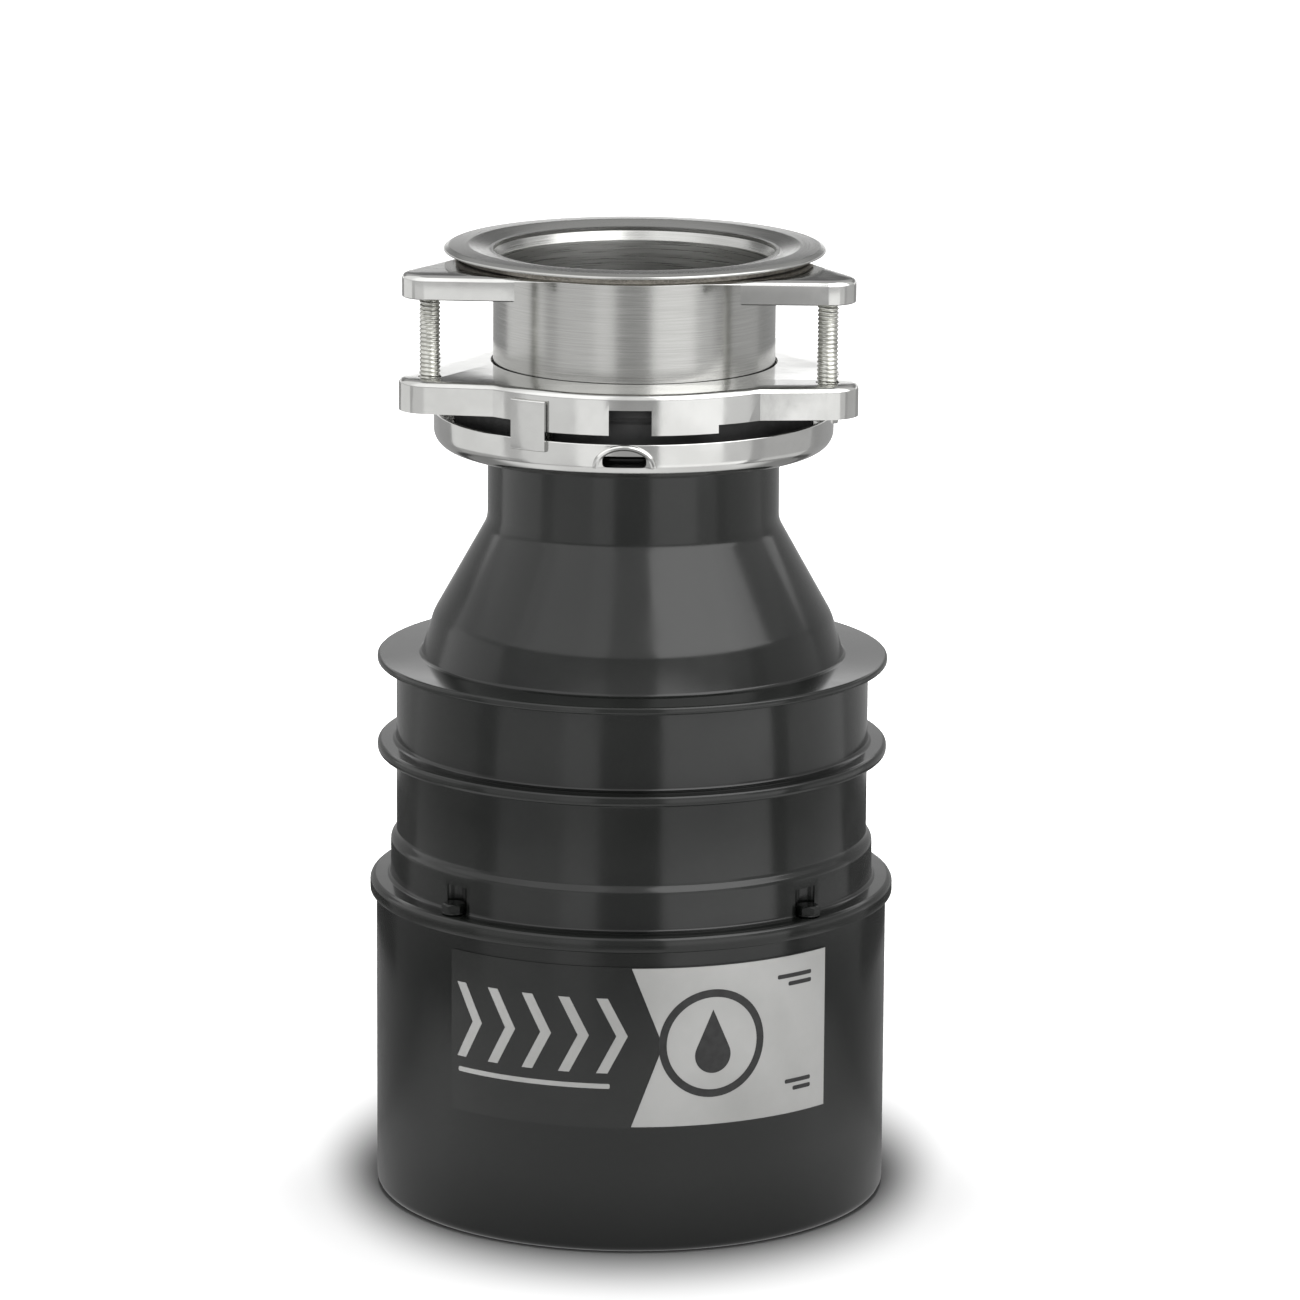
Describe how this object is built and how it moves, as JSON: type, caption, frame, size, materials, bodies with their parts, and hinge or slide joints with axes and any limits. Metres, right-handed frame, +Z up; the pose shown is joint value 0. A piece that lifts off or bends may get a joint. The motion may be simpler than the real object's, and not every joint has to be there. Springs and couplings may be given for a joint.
{
  "type": "kitchen garbage disposal",
  "caption": "Under-sink food waste disposer: black motor can and ribbed hopper with a tapered neck, hung from a plated bayonet sink mount with a steel sink flange.",
  "frame": {"origin": "on the motor axis, level with the underside of the base ring that it stands on", "axes": "+Z up along the motor axis, front with the label faces -Y, discharge outlet faces +Y, +X to the right seen from the front"},
  "size_m": [0.1604, 0.1604, 0.2929],
  "materials": {
    "black_enamel": "gloss black enamel on drawn steel",
    "black_plastic": "gloss black moulding",
    "chrome": "bright plated stamping",
    "stainless": "polished stainless sheet",
    "rubber": "matt black moulded rubber",
    "fibre": "pressed fibre",
    "cast_alloy": "as-cast",
    "bronze": "sintered, oiled",
    "lamination": "stacked electrical steel",
    "copper_winding": "varnished copper wire",
    "zinc_steel": "bright zinc plated",
    "label_silver": "satin metallised film",
    "red_plastic": "gloss red",
    "green_paint": "green passivated"
  },
  "bodies": {
    "housing": {"motor_can": "black_enamel", "hopper": "black_plastic", "hopper_gasket": "rubber", "upper_end_bell": "cast_alloy", "lower_end_bell": "cast_alloy", "housing_bolt_1": "black_enamel", "housing_bolt_2": "black_enamel", "housing_bolt_3": "black_enamel", "housing_bolt_4": "black_enamel", "through_bolt_1": "zinc_steel", "through_bolt_2": "zinc_steel", "through_bolt_3": "zinc_steel", "through_bolt_4": "zinc_steel", "sink_flange": "stainless", "fibre_gasket": "fibre", "backup_flange": "chrome", "upper_mounting_ring": "chrome", "snap_ring": "zinc_steel", "mounting_screw_1": "zinc_steel", "mounting_screw_2": "zinc_steel", "mounting_screw_3": "zinc_steel", "mounting_gasket": "rubber", "shredder_ring": "stainless", "stator_core": "lamination", "upper_winding": "copper_winding", "lower_winding": "copper_winding", "upper_bushing": "bronze", "lower_bushing": "bronze", "shaft_seal": "rubber", "thrust_washer": "bronze", "start_switch": "black_plastic", "overload_protector": "black_plastic", "terminal_cover": "zinc_steel", "cover_screw_1": "zinc_steel", "cover_screw_2": "zinc_steel", "ground_screw": "green_paint", "nameplate": "label_silver"},
    "rotor": {"rotor_shaft": "zinc_steel", "rotor_core": "lamination", "turntable": "stainless", "turntable_nut": "zinc_steel", "lug_rivet_1": "zinc_steel", "lug_rivet_2": "zinc_steel"},
    "lug_1": {"impeller_lug_1": "stainless"},
    "lug_2": {"impeller_lug_2": "stainless"},
    "lock_ring": {"lower_mounting_ring": "chrome"},
    "reset": {"reset_button": "red_plastic"},
    "actuator": {"switch_actuator": "black_plastic"}
  },
  "joints": [
    {"name": "rotor_spin", "type": "hinge", "parent": "housing", "child": "rotor", "pos_m": [0, 0, 0.1], "axis": [0, 0, 1], "continuous": true},
    {"name": "lug_1_swivel", "type": "hinge", "parent": "rotor", "child": "lug_1", "pos_m": [-0.042, 0, 0.155], "axis": [0, 0, 1], "continuous": true},
    {"name": "lug_2_swivel", "type": "hinge", "parent": "rotor", "child": "lug_2", "pos_m": [0.042, 0, 0.155], "axis": [0, 0, 1], "continuous": true},
    {"name": "lock_ring_turn", "type": "hinge", "parent": "housing", "child": "lock_ring", "pos_m": [0, 0, 0.24], "axis": [0, 0, 1], "range_deg": [0, 30]},
    {"name": "reset_press", "type": "slide", "parent": "housing", "child": "reset", "axis": [0, 0, 1], "range_m": [0, 0.0025], "stiffness_N_per_m": 400, "springref_m": -0.002},
    {"name": "actuator_slide", "type": "slide", "parent": "rotor", "child": "actuator", "axis": [0, 0, 1], "range_m": [-0.003, 0], "stiffness_N_per_m": 200, "springref_m": 0.002}
  ]
}
